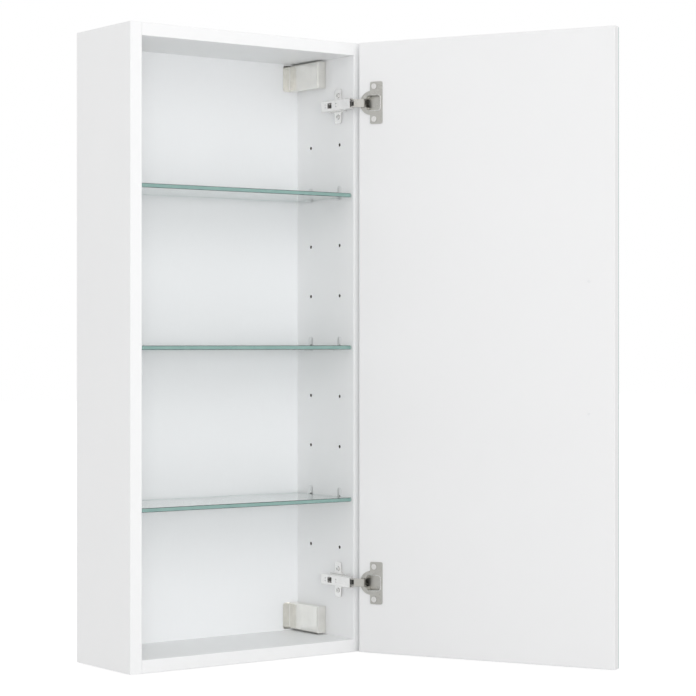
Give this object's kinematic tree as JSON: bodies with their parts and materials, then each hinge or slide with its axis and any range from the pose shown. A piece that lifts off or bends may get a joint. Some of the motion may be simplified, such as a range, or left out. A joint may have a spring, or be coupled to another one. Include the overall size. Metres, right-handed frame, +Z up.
{
  "type": "bathroom mirror cabinet",
  "caption": "Tall narrow wall cabinet with one mirrored door on concealed cup hinges, glass shelves on clear clips, rows of shelf holes and covered wall brackets in its rear corners.",
  "frame": {"origin": "centre of the cabinet's rear face, which lies flat on the wall", "axes": "+X to the right seen from the front, +Y out of the back into the wall, +Z up"},
  "size_m": [0.5786, 0.5164, 0.9],
  "materials": {
    "white_lacquer": "white satin lacquer on fibreboard",
    "back_board": "white foil on thin fibreboard",
    "beech": "raw beech",
    "clear_plastic": "clear moulded plastic",
    "nickel": "satin nickel plate on pressed steel",
    "polished_nickel": "polished nickel plate",
    "steel": "zinc-plated steel",
    "mirror": "silvered glass, green edge",
    "adhesive": "mounting adhesive sheet",
    "glass": "clear float glass with a green polished edge",
    "bumper": "soft white plastic"
  },
  "bodies": {
    "cabinet": {"side_panel_left": "white_lacquer", "side_panel_right": "white_lacquer", "top_panel": "white_lacquer", "bottom_panel": "white_lacquer", "back_panel": "back_board", "carcass_dowels": "beech", "shelf_clips_lower": "clear_plastic", "shelf_clips_middle": "clear_plastic", "shelf_clips_upper": "clear_plastic", "hinge_arm_upper": "nickel", "arm_pins_upper": "steel", "depth_screw_upper": "steel", "mounting_plate_upper": "nickel", "plate_screws_upper": "steel", "hinge_arm_lower": "nickel", "arm_pins_lower": "steel", "depth_screw_lower": "steel", "mounting_plate_lower": "nickel", "plate_screws_lower": "steel", "hanger_bracket_top_left": "steel", "hanger_screws_top_left": "steel", "hanger_bracket_top_right": "steel", "hanger_screws_top_right": "steel", "hanger_bracket_bottom_left": "steel", "hanger_screws_bottom_left": "steel", "hanger_bracket_bottom_right": "steel", "hanger_screws_bottom_right": "steel"},
    "door": {"door_panel": "white_lacquer", "mirror_glass": "mirror", "mirror_adhesive": "adhesive", "door_bumper_upper": "bumper", "hinge_cup_upper": "nickel", "cup_screws_upper": "steel", "cup_rivets_upper": "steel", "door_bumper_lower": "bumper", "hinge_cup_lower": "nickel", "cup_screws_lower": "steel", "cup_rivets_lower": "steel"},
    "outer_links": {"outer_link_upper": "nickel", "outer_link_lower": "nickel"},
    "inner_links": {"inner_link_upper": "nickel", "inner_link_lower": "nickel"},
    "shelf_lower": {"glass_shelf_lower": "glass"},
    "shelf_middle": {"glass_shelf_middle": "glass"},
    "shelf_upper": {"glass_shelf_upper": "glass"},
    "cover_top_left": {"hanger_cover_top_left": "polished_nickel"},
    "cover_top_right": {"hanger_cover_top_right": "polished_nickel"},
    "cover_bottom_left": {"hanger_cover_bottom_left": "polished_nickel"},
    "cover_bottom_right": {"hanger_cover_bottom_right": "polished_nickel"}
  },
  "joints": [
    {"name": "outer_link_swing", "type": "hinge", "parent": "cabinet", "child": "outer_links", "pos_m": [0.171, -0.1595, 0], "axis": [0, 0, 1], "range_deg": [0, 34.51]},
    {"name": "door_swing", "type": "hinge", "parent": "outer_links", "child": "door", "pos_m": [0.18941, -0.16767, 0], "axis": [0, 0, -1], "range_deg": [0, 151.5]},
    {"name": "inner_link_swing", "type": "hinge", "parent": "cabinet", "child": "inner_links", "pos_m": [0.17502, -0.15356, 0], "axis": [0, 0, 1], "range_deg": [0, 44.56]},
    {"name": "shelf_slide_lower", "type": "slide", "parent": "cabinet", "child": "shelf_lower", "axis": [0, 1, 0], "range_m": [-0.03, 0]},
    {"name": "shelf_slide_middle", "type": "slide", "parent": "cabinet", "child": "shelf_middle", "axis": [0, 1, 0], "range_m": [-0.03, 0]},
    {"name": "shelf_slide_upper", "type": "slide", "parent": "cabinet", "child": "shelf_upper", "axis": [0, 1, 0], "range_m": [-0.03, 0]},
    {"name": "cover_pull_top_left", "type": "slide", "parent": "cabinet", "child": "cover_top_left", "axis": [1, 0, 0], "range_m": [0, 0.03]},
    {"name": "cover_pull_top_right", "type": "slide", "parent": "cabinet", "child": "cover_top_right", "axis": [-1, 0, 0], "range_m": [0, 0.03]},
    {"name": "cover_pull_bottom_left", "type": "slide", "parent": "cabinet", "child": "cover_bottom_left", "axis": [1, 0, 0], "range_m": [0, 0.03]},
    {"name": "cover_pull_bottom_right", "type": "slide", "parent": "cabinet", "child": "cover_bottom_right", "axis": [-1, 0, 0], "range_m": [0, 0.03]}
  ],
  "couplings": [
    {"joint": "outer_link_swing", "follows": "door_swing", "ratio": 0.22772},
    {"joint": "inner_link_swing", "follows": "door_swing", "ratio": 0.29409}
  ]
}
